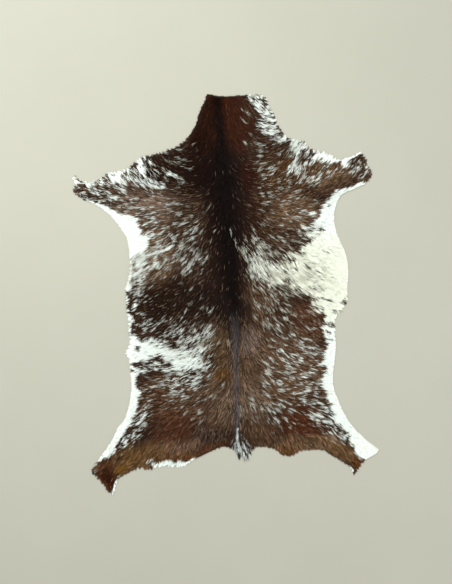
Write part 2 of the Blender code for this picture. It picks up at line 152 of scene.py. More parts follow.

# The colour of the dark hair: centre, half length, half width and turn of the long side from +X
# in degrees, the colour and how strongly it covers, and the share of tan hairs among the dark
# ones, partly lighter hairs and partly painted sheen on the coat. Later patches lie over earlier
# ones, and each fades over TONE_SOFT of its size.
TONE_SOFT = 0.5
Tone = namedtuple("Tone", "name x y half_length half_width turn colour strength tan")
TONES = [
    Tone("neck", 0, 470, 110, 80, 90, CHESTNUT, 1.0, 0.0),
    Tone("left of the neck", -60, 450, 90, 32, 78, (36, 16, 6), 0.9, 0.0),
    Tone("right neck edge", 112, 470, 80, 30, -60, DARK, 0.8, 0.15),
    Tone("right shoulder", 160, 310, 70, 70, 0, (66, 42, 21), 0.9, 0.26),
    Tone("neck base", -36, 318, 90, 90, 0, NEAR_BLACK, 1.0, 0.0),
    Tone("between the shoulders", 64, 325, 40, 28, 90, (48, 21, 9), 0.9, 0.0),
    Tone("left shoulder", -160, 350, 95, 50, 25, (34, 20, 14), 0.9, 0.05),
    Tone("left foreleg", -330, 295, 90, 40, 10, (62, 44, 33), 0.9, 0.2),
    Tone("left armpit", -222, 235, 88, 50, 0, TAWNY, 0.92, 0.38),
    Tone("left armpit smooth", -188, 255, 34, 18, 0, (110, 93, 84), 0.8, 0.3),
    Tone("left ribs", -195, 112, 74, 78, 0, BROWN, 0.95, 0.45),
    Tone("left side of the back", -95, 150, 120, 60, 90, (54, 39, 30), 0.8, 0.25),
    Tone("right side of the back", 95, 210, 80, 46, 90, (52, 32, 18), 0.9, 0.15),
    Tone("middle of the back", 6, 180, 190, 62, 88, NEAR_BLACK, 0.95, 0.03),
    Tone("left flank", -150, -22, 98, 64, 9, (34, 20, 12), 0.9, 0.05),
    Tone("left loin", -50, -20, 60, 60, 0, (32, 20, 15), 0.7, 0.04),
    Tone("right flank", 196, 220, 64, 54, 0, (96, 74, 56), 0.9, 0.35),
    Tone("right ribs", 168, 145, 40, 40, 0, DARK, 0.8, 0.25),
    Tone("right foreleg", 275, 328, 70, 36, 0, (90, 68, 48), 0.9, 0.35),
    Tone("right forefoot", 372, 338, 36, 40, 0, (66, 48, 34), 0.9, 0.2),
    Tone("right loin", 90, -22, 46, 60, 0, (66, 47, 33), 0.85, 0.3),
    Tone("right thigh", 180, -200, 110, 120, 90, (79, 58, 43), 0.95, 0.32),
    Tone("right thigh front", 228, -68, 46, 50, 0, (74, 46, 31), 0.9, 0.22),
    Tone("right of the back", 70, -190, 100, 44, 90, (74, 56, 43), 0.95, 0.33),
    # painted sheen: a grey patch where the hair catches the light
    Tone("right of the back painted sheen", 64, -130, 22, 34, 0, (98, 87, 84), 0.7, 0.35),
    Tone("left of the back", -16, -220, 130, 44, 90, (78, 60, 46), 0.95, 0.4),
    Tone("loin dark", 16, -62, 64, 44, 90, (40, 27, 20), 0.7, 0.1),
    Tone("loin black", 12, -26, 44, 46, 0, (27, 17, 13), 0.85, 0.05),
    Tone("left of the back golden", -12, -140, 56, 18, 90, (74, 56, 34), 0.75, 0.25),
    Tone("left of the back olive", -6, -216, 24, 22, 0, (84, 58, 22), 0.85, 0.15),
    Tone("left of the back dark", -36, -190, 14, 30, 0, DARK, 0.8, 0.1),
    Tone("left thigh", -170, -280, 80, 62, 0, (74, 51, 36), 0.95, 0.22),
    Tone("left rump", -80, -300, 60, 50, 0, (70, 50, 38), 0.85, 0.35),
    # painted sheen: a grey patch where the hair catches the light
    Tone("rump painted sheen", 50, -300, 60, 54, 0, (90, 74, 64), 0.8, 0.5),
    Tone("left rump red", -135, -380, 56, 66, 0, RUSSET, 0.9, 0.12),
    Tone("left of the tail", -52, -388, 44, 36, 0, (54, 42, 37), 0.9, 0.25),
    Tone("left of the tail edge", -45, -424, 50, 13, 15, (78, 46, 26), 0.8, 0.1),
    Tone("right of the tail", 98, -380, 46, 38, 0, (76, 55, 41), 0.9, 0.2),
    Tone("right rump red", 212, -350, 64, 46, 0, (74, 40, 23), 0.95, 0.10),
    Tone("right rump ginger", 240, -410, 92, 28, 0, (94, 71, 50), 0.9, 0.36),
    Tone("right rump lobe", 158, -432, 50, 14, 0, GINGER, 0.8, 0.2),
    Tone("right hind leg", 318, -424, 52, 26, -40, (95, 70, 44), 0.9, 0.3),
    Tone("right hind leg dark", 325, -393, 24, 14, -30, DARK, 0.8, 0.2),
    Tone("right hind foot", 362, -462, 18, 26, -20, (92, 56, 27), 0.9, 0.12),
    Tone("left rump mauve", -130, -418, 60, 22, 8, (100, 77, 63), 0.8, 0.36),
    Tone("left rump ginger", -140, -448, 64, 13, 8, GINGER, 0.8, 0.2),
    Tone("left hind leg", -245, -448, 80, 36, 18, (99, 72, 40), 0.95, 0.25),
    Tone("left hind leg olive", -277, -425, 26, 13, 50, (84, 66, 32), 0.6, 0.15),
    Tone("left hind leg gold", -276, -468, 22, 10, 30, (116, 84, 34), 0.7, 0.1),
    Tone("left hind leg dark", -308, -450, 30, 22, 40, (78, 50, 28), 0.8, 0.12),
    Tone("left hind corner", -350, -468, 18, 16, 0, (88, 58, 36), 0.85, 0.15),
    Tone("left hind foot", -328, -505, 26, 38, -30, (72, 38, 18), 0.95, 0.08),
    Tone("left hind foot middle", -322, -494, 14, 16, 0, (44, 20, 10), 0.8, 0.0),
]

# The share of white hair, from 0 to 1, where the dark coat is flecked, in patches as above. soft
# is the width of the patch's fading edge as a share of its size.
Patch = namedtuple("Patch", "name x y half_length half_width turn share soft")
FLECKED = [
    Patch("left shoulder", -190, 325, 90, 50, 20, 0.05, 0.5),
    Patch("left foreleg", -325, 288, 96, 40, 10, 0.31, 0.5),
    Patch("left armpit", -220, 235, 84, 46, 0, 0.16, 0.6),
    Patch("left ribs", -195, 125, 70, 64, 0, 0.25, 0.6),
    Patch("left flank", -130, -20, 90, 56, 0, 0.018, 0.5),
    Patch("left flank low", -165, -84, 80, 24, -4, 0.15, 0.6),
    Patch("left belly", -235, -5, 90, 30, 90, 0.15, 0.6),
    Patch("left side of the back", -100, 120, 90, 40, 90, 0.13, 0.6),
    Patch("right of the neck", 110, 350, 90, 30, 90, 0.06, 0.6),
    Patch("right shoulder", 185, 345, 80, 80, 0, 0.09, 0.6),
    Patch("right flank", 185, 210, 80, 66, 90, 0.10, 0.7),
    Patch("right ribs", 125, 150, 50, 60, 90, 0.05, 0.6),
    Patch("right loin", 120, -30, 70, 50, 90, 0.06, 0.6),
    Patch("right thigh", 200, -200, 135, 84, 90, 0.19, 0.75),
    Patch("right thigh brown", 225, -66, 44, 44, 0, 0.05, 0.5),
    Patch("right rump", 140, -310, 76, 50, 0, 0.10, 0.6),
    Patch("left rump", -140, -265, 100, 46, 0, 0.105, 0.6),
    Patch("right rump smooth", 220, -400, 90, 34, 0, 0.02, 0.4),
    Patch("left rump smooth", -170, -420, 110, 46, 10, 0.01, 0.4),
    Patch("right hind leg", 285, -345, 70, 28, -48, 0.36, 0.5),
    Patch("left hind leg", -252, -365, 64, 22, 58, 0.34, 0.5),
]

# The large white areas: the share of white hair in them, how far the edge fades in millimetres,
# and the outline, which runs on past the rim where the area reaches it
Area = namedtuple("Area", "name share soft outline")
AREAS = [
    Area("left shoulder blade", 0.57, 8, [
        (-400, 340), (-345, 345), (-300, 360), (-260, 380), (-236, 395), (-212, 390), (-199, 370),
        (-198, 356), (-214, 345), (-220, 330), (-196, 312), (-168, 302), (-172, 290), (-200, 285),
        (-226, 288), (-242, 300), (-262, 298), (-276, 288), (-300, 290), (-318, 298), (-342, 302),
        (-366, 303), (-396, 312),
    ]),
    Area("neck edge", 0.60, 6, [
        (57, 556), (62, 532), (76, 520), (86, 500), (90, 482), (94, 468), (84, 457), (87, 446),
        (104, 438), (118, 425), (150, 419), (178, 417), (180, 434), (150, 432), (146, 446),
        (140, 460), (160, 490), (120, 560),
    ]),
    Area("right shoulder", 0.66, 8, [
        (178, 414), (190, 440), (222, 440), (224, 402), (206, 392), (200, 372), (202, 354),
        (220, 346), (224, 332), (200, 326), (176, 330), (166, 340), (184, 356), (188, 372),
        (184, 396),
    ]),
    Area("right foreleg blaze", 0.95, 6, [
        (236, 425), (310, 400), (312, 364), (290, 360), (272, 366), (258, 352), (244, 354),
        (235, 372),
    ]),
    Area("left armpit and belly", 0.98, 6, [
        (-380, 262), (-345, 249), (-326, 240), (-305, 232), (-288, 218), (-258, 215), (-244, 204),
        (-240, 188), (-230, 180), (-232, 168), (-222, 160), (-204, 156), (-212, 144), (-212, 128),
        (-222, 114), (-240, 104), (-236, 84), (-228, 72), (-234, 46), (-246, 24), (-262, 12),
        (-300, 10), (-300, 160), (-340, 210), (-390, 235),
    ]),
    Area("left band", 0.955, 9, [
        (-290, -106), (-262, -104), (-242, -108), (-238, -124), (-222, -122), (-205, -118),
        (-190, -122), (-178, -132), (-160, -145), (-140, -150), (-120, -148), (-100, -142),
        (-75, -140), (-56, -140), (-48, -150), (-54, -165), (-62, -185), (-74, -202), (-95, -210),
        (-115, -214), (-130, -207), (-142, -198), (-152, -184), (-168, -176), (-185, -166),
        (-205, -170), (-215, -182), (-240, -184), (-262, -194), (-290, -196),
    ]),
    Area("left hind margin", 0.98, 5, [
        (-290, -190), (-250, -192), (-225, -210), (-240, -222), (-246, -240), (-242, -255),
        (-228, -266), (-238, -278), (-240, -296), (-243, -320), (-256, -338), (-250, -346),
        (-262, -358), (-278, -378), (-288, -392), (-300, -410), (-302, -430), (-318, -440),
        (-335, -450), (-347, -456), (-358, -460), (-390, -452), (-330, -400), (-285, -330),
        (-280, -250),
    ]),
    Area("left rump fringe", 0.98, 3, [
        (-202, -495), (-197, -464), (-180, -459), (-160, -451), (-140, -455), (-110, -458),
        (-96, -452), (-84, -444), (-78, -452), (-90, -480),
    ]),
    Area("cream wedge", 0.70, 12, [
        (22, 148), (38, 140), (52, 132), (62, 122), (76, 114), (88, 124), (98, 114), (104, 98),
        (118, 92), (140, 87), (165, 80), (180, 92), (204, 100), (214, 112), (240, 120), (262, 90),
        (270, 40), (262, 0), (236, -8), (225, 0), (210, 6), (196, 4), (186, 14), (172, 22),
        (150, 24), (130, 22), (110, 30), (90, 38), (76, 52), (66, 62), (66, 80), (60, 95),
        (46, 108), (36, 125),
    ]),
    Area("right armpit and belly", 1.0, 7, [
        (345, 295), (300, 284), (286, 262), (262, 243), (260, 226), (258, 212), (243, 202),
        (241, 178), (234, 160), (238, 150), (230, 138), (206, 128), (204, 120), (222, 108),
        (246, 84), (262, 50), (266, 20), (240, -6), (246, -28), (264, -42), (273, -56), (268, -66),
        (271, -78), (261, -90), (266, -102), (272, -114), (278, -130), (279, -140), (268, -152),
        (272, -170), (262, -184), (275, -198), (277, -212), (264, -230), (262, -248), (275, -262),
        (276, -280), (282, -300), (286, -320), (298, -332), (304, -346), (318, -356), (324, -368),
        (342, -386), (344, -402), (350, -418), (356, -432), (366, -443), (382, -453), (420, -462),
        (440, -420), (400, -370), (360, -320), (325, -260), (320, -100), (350, -10), (355, 60),
        (340, 160), (325, 240),
    ]),
]

# Smaller white patches
PATCHES = [
    Patch("left forefoot tuft", -406, 312, 16, 16, 0, 0.80, 0.4),
    Patch("left foreleg front rim", -366, 313, 34, 8, 14, 0.85, 0.3),
    Patch("left foreleg blaze", -297, 326, 24, 13, 90, 0.80, 0.4),
    Patch("left foreleg stripe", -231, 340, 34, 7, 110, 0.85, 0.5),
    Patch("left foreleg front dark", -256, 352, 12, 8, -20, 0.25, 0.4),
    Patch("left shoulder dark", -232, 306, 14, 10, -50, 0.40, 0.5),
    Patch("left foreleg top", -209, 366, 15, 6, -50, 0.80, 0.3),
    Patch("left shoulder stripe", -196, 347, 22, 3, -42, 0.50, 0.4),
    Patch("left shoulder spot", -146, 327, 17, 7, -12, 0.66, 0.5),
    Patch("left armpit streak", -182, 119, 40, 4, 20, 0.75, 0.4),
    Patch("left belly streak", -203, 74, 26, 6, 34, 0.80, 0.4),
    Patch("left belly mix", -240, 66, 48, 24, 84, 0.76, 0.5),
    Patch("left belly grey", -246, 40, 16, 11, 60, 0.45, 0.4),
    Patch("left flank rim", -268, -30, 56, 5, 92, 0.50, 0.4),
    Patch("left flank rim low", -262, -84, 26, 8, 84, 0.80, 0.4),
    Patch("left flank streaks", -247, -32, 16, 7, 60, 0.70, 0.4),
    Patch("left band upper fringe", -112, -118, 58, 20, 10, 0.46, 0.6),
    Patch("left band inner fringe", -62, -112, 44, 18, 40, 0.30, 0.6),
    Patch("left band right side", -72, -172, 34, 22, 90, 0.66, 0.6),
    Patch("left band right fringe", -42, -165, 44, 14, 80, 0.26, 0.6),
    Patch("left band trail", -110, -230, 62, 26, 18, 0.44, 0.6),
    Patch("left band lower streaks", -200, -198, 56, 16, 0, 0.52, 0.4),
    Patch("left rump fringe start", -207, -457, 12, 6, 8, 0.42, 0.5),
    Patch("left hind foot sliver", -301, -525, 30, 4, 65, 0.85, 0.3),
    Patch("cream band", 226, 62, 60, 46, -6, 0.96, 0.5),
    Patch("wedge tip", 34, 138, 26, 5, -42, 0.60, 0.5),
    Patch("wedge upper fringe", 88, 132, 40, 20, -20, 0.22, 0.6),
    Patch("wedge lower fringe", 80, 32, 44, 16, -36, 0.26, 0.6),
    Patch("belly lower fringe", 160, 6, 50, 14, 0, 0.26, 0.6),
    Patch("belly rear fringe", 252, -34, 26, 14, -60, 0.60, 0.5),
    Patch("right armpit streak", 226, 186, 24, 6, -4, 0.85, 0.3),
    Patch("right armpit inner streaks", 222, 166, 20, 12, 0, 0.55, 0.4),
    Patch("right belly spot", 186, 108, 18, 6, -6, 0.85, 0.3),
    Patch("right armpit front streak", 236, 221, 15, 5, 25, 0.80, 0.3),
    Patch("right foreleg mix", 232, 384, 12, 22, 0, 0.45, 0.4),
    Patch("right foreleg fringe", 240, 356, 26, 10, 30, 0.45, 0.5),
    Patch("right foreleg brown", 275, 328, 56, 24, 0, 0.20, 0.4),
    Patch("right foreleg spot", 332, 357, 14, 12, 0, 0.98, 0.3),
    Patch("right foreleg front rim", 348, 379, 40, 8, 13, 0.92, 0.3),
    Patch("right forefoot", 370, 345, 28, 24, 0, 0.25, 0.4),
    Patch("right foreleg back rim", 365, 299, 46, 9, 19, 0.97, 0.3),
    Patch("right hind foot wisp", 345, -474, 9, 4, -60, 0.85, 0.3),
]

# Where white and dark hairs mix one by one and not in flecks; share says how much they do
MIXED = [
    Patch("cream wedge", 110, 80, 110, 56, -25, 0.9, 0.5),
    Patch("cream band", 200, 45, 90, 60, -2, 0.85, 0.5),
    Patch("left band fringe", -80, -130, 90, 60, 10, 0.75, 0.5),
    Patch("left band trail", -110, -226, 80, 36, 15, 0.55, 0.5),
    Patch("right shoulder grey", 203, 378, 50, 30, 90, 0.5, 0.5),
    Patch("left ribs", -170, 110, 70, 50, 0, 0.55, 0.5),
    Patch("left belly", -240, 60, 56, 34, 90, 0.7, 0.4),
    Patch("left shoulder", -230, 325, 90, 44, 10, 0.25, 0.5),
    Patch("neck edge", 120, 480, 80, 44, -60, 0.25, 0.5),
    Patch("right armpit streaks", 224, 172, 40, 30, 0, 0.6, 0.5),
]

# Where the flecks are broad tufts; share says how broad
BROAD = [
    Patch("left shoulder", -262, 338, 100, 52, 20, 0.85, 0.4),
    Patch("right shoulder", 212, 385, 60, 52, 0, 0.7, 0.4),
    Patch("left flank rim", -262, -40, 90, 18, 90, 0.5, 0.4),
]

# Single flecks that stand out, white ones on dark hair and dark ones on white hair: x and y of the
# centre, the length along the hair and the width
WHITE_FLECKS = {
    "neck": [
        (60, 493, 14, 7), (44, 506, 8, 3), (50, 474, 20, 4), (70, 435, 12, 4), (52, 413, 10, 5),
        (87, 412, 14, 6), (95, 405, 12, 6), (95, 392, 16, 8), (95, 378, 12, 6), (102, 358, 14, 6),
        (92, 343, 12, 6), (103, 325, 12, 6), (105, 316, 10, 6), (118, 345, 12, 6),
        (133, 343, 18, 10), (122, 300, 12, 6), (-125, 395, 14, 6), (-128, 372, 12, 6),
        (-110, 367, 12, 6), (-130, 360, 12, 6), (-98, 343, 12, 6), (-85, 410, 9, 4),
        (-132, 320, 18, 9), (-122, 316, 12, 6), (-120, 305, 16, 8), (-130, 290, 12, 6),
    ],
    "left shoulder and ribs": [
        (-195, 332, 26, 5), (-165, 390, 14, 5), (-160, 365, 12, 5), (-290, 240, 14, 5),
        (-270, 248, 12, 5), (-245, 262, 12, 5), (-240, 238, 30, 6), (-235, 223, 14, 5),
        (-200, 223, 14, 5), (-200, 240, 12, 5), (-155, 246, 14, 6), (-150, 225, 12, 5),
        (-190, 197, 14, 5), (-170, 180, 14, 5), (-190, 130, 12, 5), (-170, 150, 12, 5),
        (-200, 72, 34, 6), (-205, 20, 12, 5), (-180, 60, 12, 6), (-165, 95, 12, 6),
        (-180, 75, 12, 5), (-165, 50, 10, 5),
    ],
    "left of the back": [
        (-130, 275, 12, 5), (-122, 245, 12, 5), (-128, 220, 18, 8), (-95, 215, 12, 5),
        (-110, 205, 12, 5), (-118, 192, 26, 6), (-85, 185, 14, 5), (-85, 172, 12, 5),
        (-68, 170, 12, 5), (-91, 154, 20, 6), (-118, 136, 18, 8), (-32, 170, 16, 4),
        (-40, 147, 12, 4), (-45, 237, 10, 4), (-88, 92, 60, 9), (-115, 100, 20, 8),
        (-115, 85, 14, 6), (-70, 105, 12, 5), (-60, 90, 12, 5), (-50, 100, 10, 5),
    ],
    "right of the back": [
        (15, 170, 16, 4), (57, 145, 12, 5), (75, 145, 14, 5), (27, 139, 16, 5), (37, 125, 18, 6),
        (46, 111, 20, 7), (55, 98, 20, 9), (75, 180, 12, 5), (102, 135, 24, 8), (100, 190, 12, 5),
        (120, 205, 12, 5), (125, 157, 12, 5), (98, 275, 10, 5), (95, 230, 18, 5), (115, 253, 12, 5),
        (110, 245, 12, 5), (160, 207, 14, 6), (197, 210, 26, 6), (155, 190, 12, 6),
        (240, 215, 12, 5), (165, 165, 14, 6), (160, 145, 14, 6), (185, 148, 14, 6),
        (180, 108, 12, 6), (104, 113, 16, 8), (114, 109, 14, 8), (125, 107, 14, 8),
        (136, 108, 14, 8), (146, 113, 16, 8), (97, 126, 18, 8), (110, 132, 14, 7),
        (152, 124, 18, 8), (198, 110, 16, 9), (208, 117, 14, 8), (178, 128, 14, 6),
    ],
    "loin": [
        (-40, -45, 20, 6), (-95, -25, 12, 6), (-110, -45, 12, 6), (-80, -55, 12, 6),
        (-65, -35, 10, 5), (-52, -38, 10, 5), (-45, -85, 14, 7), (-20, -130, 12, 6),
        (8, -133, 14, 9), (85, -27, 18, 9), (115, -38, 34, 6), (112, -87, 18, 7), (121, -82, 14, 6),
        (108, -185, 22, 6), (118, -210, 20, 14), (130, -235, 12, 6), (115, -240, 12, 6),
        (105, -245, 12, 6), (-8, -245, 14, 6),
    ],
    "rump": [
        (-110, -323, 18, 7), (-68, -320, 14, 7), (-65, -345, 12, 5), (-90, -338, 8, 4),
        (100, -312, 14, 8), (112, -303, 12, 6), (42, -310, 12, 6), (40, -325, 8, 5),
        (128, -310, 14, 5), (157, -302, 12, 10), (143, -313, 16, 7), (180, -315, 14, 12),
        (165, -340, 16, 5), (185, -350, 10, 6), (235, -50, 20, 5), (225, -90, 16, 8),
        (208, -140, 22, 14), (240, -145, 14, 6), (232, -158, 36, 5), (170, -195, 20, 6),
        (220, -215, 20, 7), (165, -215, 14, 8), (-225, -355, 16, 6), (-195, -250, 20, 6),
        (-353, -464, 16, 5), (-357, -481, 11, 5),
    ],
}
DARK_FLECKS = {
    "neck edge": [
        (65, 540, 14, 4), (80, 540, 12, 4), (75, 515, 14, 4), (105, 505, 14, 4), (120, 505, 12, 4),
        (130, 495, 14, 4), (122, 485, 36, 4), (95, 473, 14, 4), (105, 470, 12, 4),
        (125, 465, 16, 4), (100, 450, 14, 4), (135, 450, 12, 4),
    ],
    "forelegs": [
        (-325, 310, 24, 9), (-352, 305, 16, 8), (-289, 297, 24, 12), (-276, 318, 20, 7),
        (-252, 330, 22, 6), (-240, 334, 18, 6), (-258, 312, 18, 6), (-216, 352, 52, 7),
        (-205, 330, 46, 6), (-196, 322, 34, 5), (-222, 316, 24, 6), (-385, 265, 22, 9),
        (-360, 260, 22, 8), (-330, 262, 20, 9), (-320, 245, 16, 7), (207, 375, 22, 12),
        (225, 400, 22, 5), (240, 380, 34, 5), (157, 440, 34, 12),
    ],
    "cream band": [
        (172, 35, 18, 14), (160, 12, 40, 5), (225, 75, 16, 5), (275, 115, 12, 4), (45, 40, 20, 4),
        (60, 35, 22, 4), (85, 35, 20, 4), (95, 10, 18, 5), (120, 10, 20, 5), (100, 100, 26, 5),
        (80, 120, 22, 5), (205, 110, 16, 8), (262, 178, 14, 12), (283, 243, 7, 5),
    ],
    "left band": [
        (-200, -130, 14, 6), (-240, -147, 15, 13), (-190, -173, 34, 7), (-228, -190, 30, 6),
        (-215, -196, 44, 6), (-175, -194, 40, 6), (-210, -208, 22, 6),
    ],
    "right rim": [
        (285, -18, 16, 8), (268, -12, 20, 5), (299, -47, 18, 9), (290, -82, 20, 12),
        (279, -102, 24, 5), (288, -122, 16, 5), (325, -20, 15, 14), (315, -48, 10, 8),
        (284, -300, 15, 9), (292, -323, 22, 6),
    ],
}

# The locks of the tail's brush, from its root to its end: where each starts and ends, and its
# share of white hairs
TailLock = namedtuple("TailLock", "x y end_x end_y pale")
TAIL_LOCKS = [
    TailLock(32, -354, 33, -380, 0.60),
    TailLock(29, -364, 19, -398, 0.15),
    TailLock(36, -366, 50, -396, 0.10),
    TailLock(33, -368, 32, -404, 0.80),
    TailLock(28, -378, 13, -412, 0.25),
    TailLock(42, -380, 66, -408, 0.20),
    TailLock(30, -384, 25, -424, 0.55),
    TailLock(41, -384, 52, -424, 0.20),
    TailLock(34, -388, 37, -430, 0.90),
    TailLock(26, -396, 18, -428, 0.20),
    TailLock(50, -390, 74, -424, 0.15),
    TailLock(32, -400, 32, -440, 0.45),
    TailLock(46, -394, 60, -434, 0.60),
    TailLock(38, -404, 44, -438, 0.85),
    TailLock(52, -400, 72, -440, 0.15),
    TailLock(37, -410, 38, -468, 0.03),
    TailLock(48, -410, 68, -466, 0.15),
    TailLock(44, -412, 56, -464, 0.60),
]

rng = np.random.default_rng(SEED)


def blend(first, second, share):
    """The first where the share is 0, the second where it is 1, and a mix between."""
    return first * (1 - share) + second * share


def eased(share):
    """A share from 0 to 1 with a soft start and end."""
    return share * share * (3 - 2 * share)


def add_object(name, data):
    """A new object of the scene with this data."""
    made = bpy.data.objects.new(name, data)
    bpy.context.scene.collection.objects.link(made)
    return made


def paint(mesh, colours):
    """The colours, one for each vertex, as the mesh's attribute coat."""
    filled = np.ones((len(mesh.vertices), 4), np.float32)
    filled[:, :3] = colours.reshape(-1, 3)
    attribute = mesh.color_attributes.new("coat", "FLOAT_COLOR", "POINT")
    attribute.data.foreach_set("color", filled.ravel())


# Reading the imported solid


def read_hide(mesh):
    """The solid's rim as a ring of (x, y, height) and a tree of its faces, in millimetres."""
    places = np.empty(len(mesh.vertices) * 3, np.float32)
    mesh.vertices.foreach_get("co", places)
    places = places.reshape(-1, 3).astype(float) / MM
    mesh.calc_loop_triangles()
    faces = np.empty(len(mesh.loop_triangles) * 3, np.int32)
    mesh.loop_triangles.foreach_get("vertices", faces)
    spots, same = np.unique(places.round(2), axis=0, return_inverse=True)
    faces = same.ravel()[faces].reshape(-1, 3)
    on_floor = (spots[faces][:, :, 2] < 0.05).all(axis=1)
    edges = set()
    for a, b, c in faces[on_floor]:
        edges.update([(a, b), (b, c), (c, a)])
    following = {a: b for a, b in edges if (b, a) not in edges}
    heights = {}
    for x, y, z in spots:
        heights[x, y] = max(z, heights.get((x, y), 0.0))
    start = spot = next(iter(following))
    ring = []
    while True:
        x, y, _ = spots[spot]
        ring.append((x, y, heights[x, y]))
        spot = following[spot]
        if spot == start:
            break
    return np.array(ring), BVHTree.FromPolygons(spots.tolist(), faces.tolist())


def is_inside(points, ring):
    """Whether each point lies in the ring, by counting the rim edges that a ray crosses."""
    inside = np.zeros(len(points), bool)
    x, y = points[:, 0], points[:, 1]
    for (x0, y0), (x1, y1) in zip(ring, np.roll(ring, -1, axis=0), strict=True):
        if y0 == y1:
            continue
        crosses = (y0 > y) != (y1 > y)
        inside ^= crosses & (x < (x1 - x0) * (y - y0) / (y1 - y0) + x0)
    return inside


def distance_in(points, ring):
    """How far inside the ring each point lies, below 0 outside it."""
    ahead = np.roll(ring, -1, axis=0)
    shares = np.linspace(0, 1, 4, endpoint=False)[:, None, None]
    dense = (ring + (ahead - ring) * shares).reshape(-1, 2)
    tree = KDTree(len(dense))
    for i, (x, y) in enumerate(dense):
        tree.insert((x, y, 0.0), i)
    tree.balance()
    away = np.array([tree.find((x, y, 0.0))[2] for x, y in points])
    return np.where(is_inside(points, ring), away, -away)


class Chart:
    """Fields over the hide, each kept at points a cell apart and read between them."""

    def __init__(self, low, high, cell):
        self.cell = cell
        self.low = np.floor(np.array(low) / cell) * cell
        self.size = np.ceil((np.array(high) - self.low) / cell).astype(int) + 1
        xs = self.low[0] + cell * np.arange(self.size[0])
        ys = self.low[1] + cell * np.arange(self.size[1])
        self.points = np.stack(np.meshgrid(xs, ys), axis=-1).reshape(-1, 2)

    def shaped(self, values):
        """Values at the chart's points as a field of rows and columns."""
        return np.asarray(values).reshape(self.size[1], self.size[0], *np.shape(values)[1:])

    def read(self, field, points):
        """The field at any points, bilinear between the chart's own."""
        place = (np.asarray(points) - self.low) / self.cell
        place = np.clip(place, 0, self.size - 1.001)
        corner = place.astype(int)
        fx, fy = (place - corner).T
        if field.ndim == 3:
            fx, fy = fx[:, None], fy[:, None]
        i, j = corner.T
        below = blend(field[j, i], field[j, i + 1], fx)
        above = blend(field[j + 1, i], field[j + 1, i + 1], fx)
        return blend(below, above, fy)


# The lie of the hair


def back_line(y, column):
    """A column of the table BACK at places y along the hide."""
    return np.interp(-y, [-row.y for row in BACK], [getattr(row, column) for row in BACK])


def hair_direction(points):
    """Unit vectors along the hair at points (an N x 2 array), from the rows of HAIR."""
    away = points[:, 0] - back_line(points[:, 1], "x")
    levels = [-row.y for row in HAIR]
    place = np.interp(np.abs(away), OUT, np.arange(len(OUT)))
    left = np.minimum(place.astype(int), len(OUT) - 2)
    share = place - left
    every = np.arange(len(points))
    direction = np.zeros((len(points), 2))
    for axis, part_of in enumerate((math.cos, math.sin)):
        columns = []
        for i in range(len(OUT)):
            values = [part_of(math.radians(row.angles[i])) for row in HAIR]
            columns.append(np.interp(-points[:, 1], levels, values))
        columns = np.array(columns)
        direction[:, axis] = blend(columns[left, every], columns[left + 1, every], share)
    direction[:, 0] *= np.where(away < 0, -1.0, 1.0)
    return direction / np.linalg.norm(direction, axis=1)[:, None]


def turned(direction, angle):
    """Directions or places, an N x 2 array, turned by an angle in radians."""
    c, s = np.cos(angle), np.sin(angle)
    x, y = direction[:, 0], direction[:, 1]
    return np.stack([x * c - y * s, x * s + y * c], axis=1)


# Painting the charts


def to_linear(colour):
    """A colour as seen, from 0 to 255, as the light it reflects, from 0 to 1."""
    seen = np.array(colour, float) / 255
    return np.where(seen <= 0.04045, seen / 12.92, ((seen + 0.055) / 1.055) ** 2.4)


def smooth_noise(points, step, seed):
    """Soft noise from -1 to 1 with bumps step millimetres apart. Each use has its own seed."""
    lattice = np.random.default_rng(seed).uniform(-1, 1, (NOISE_SIZE, NOISE_SIZE))
    place = turned(points, seed * 0.7) / step
    corner = np.floor(place).astype(int)
    fx, fy = eased(place - corner).T
    i, j = (corner % (NOISE_SIZE - 1)).T
    low = blend(lattice[j, i], lattice[j, i + 1], fx)
    high = blend(lattice[j + 1, i], lattice[j + 1, i + 1], fx)
    return blend(low, high, fy)


def noise_pair(points, step, seed):
    """Soft noise in both directions over the hide."""
    return np.stack([smooth_noise(points, step, seed + i) for i in range(2)], axis=1)


def in_patch(points, patch, soft):
    """How far each point is in an oval patch: 1 inside, falling to 0 over its soft edge."""
    turn = math.radians(patch.turn)
    x, y = points[:, 0] - patch.x, points[:, 1] - patch.y
    u = (x * math.cos(turn) + y * math.sin(turn)) / patch.half_length
    v = (y * math.cos(turn) - x * math.sin(turn)) / patch.half_width
    return eased(np.clip((1 + soft - np.hypot(u, v)) / (2 * soft), 0, 1))


def strongest(points, patches):
    """The strongest share that any of the patches gives each point."""
    shares = [patch.share * in_patch(points, patch, patch.soft) for patch in patches]
    return np.max(shares, axis=0)


def in_area(points, area):
    """How far each point is in an area: 1 inside its outline, falling to 0 over its soft edge."""
    outline = np.array(area.outline, float)
    around = (points > outline.min(axis=0) - area.soft) & (points < outline.max(axis=0) + area.soft)
    near = np.flatnonzero(around.all(axis=1))
    spots = points[near]
    away = np.full(len(near), np.inf)
    for start, end in zip(outline, np.roll(outline, -1, axis=0), strict=True):
        run = end - start
        along = np.clip((spots - start) @ run / (run @ run), 0, 1)
        away = np.minimum(away, np.linalg.norm(spots - start - along[:, None] * run, axis=1))
    away = np.where(is_inside(spots, outline), away, -away)
    inside = np.zeros(len(points))
    inside[near] = eased(np.clip(0.5 + away / (2 * area.soft), 0, 1))
    return inside


def strokes(chart, step, reach, seed):
    """Noise drawn out along the hair in strokes about step wide and twice reach long."""
    sway = smooth_noise(chart.points, 12, seed + 100) * 0.25
    lie = turned(hair_direction(chart.points), sway)
    places = np.arange(-reach, reach + 0.01, max(step / 2, reach / 6))
    total = np.zeros(len(chart.points))
    for place in places:
        weight = math.cos(place / reach * 1.2)
        total += smooth_noise(chart.points + lie * place, step, seed) * weight
    return chart.shaped(total / total.std())


def ranked(field, where):
    """The field's values spread evenly from 0 to 1 over the places where it counts."""
    order = np.sort(field[where])
    return np.searchsorted(order, field.ravel()).reshape(field.shape) / len(order)


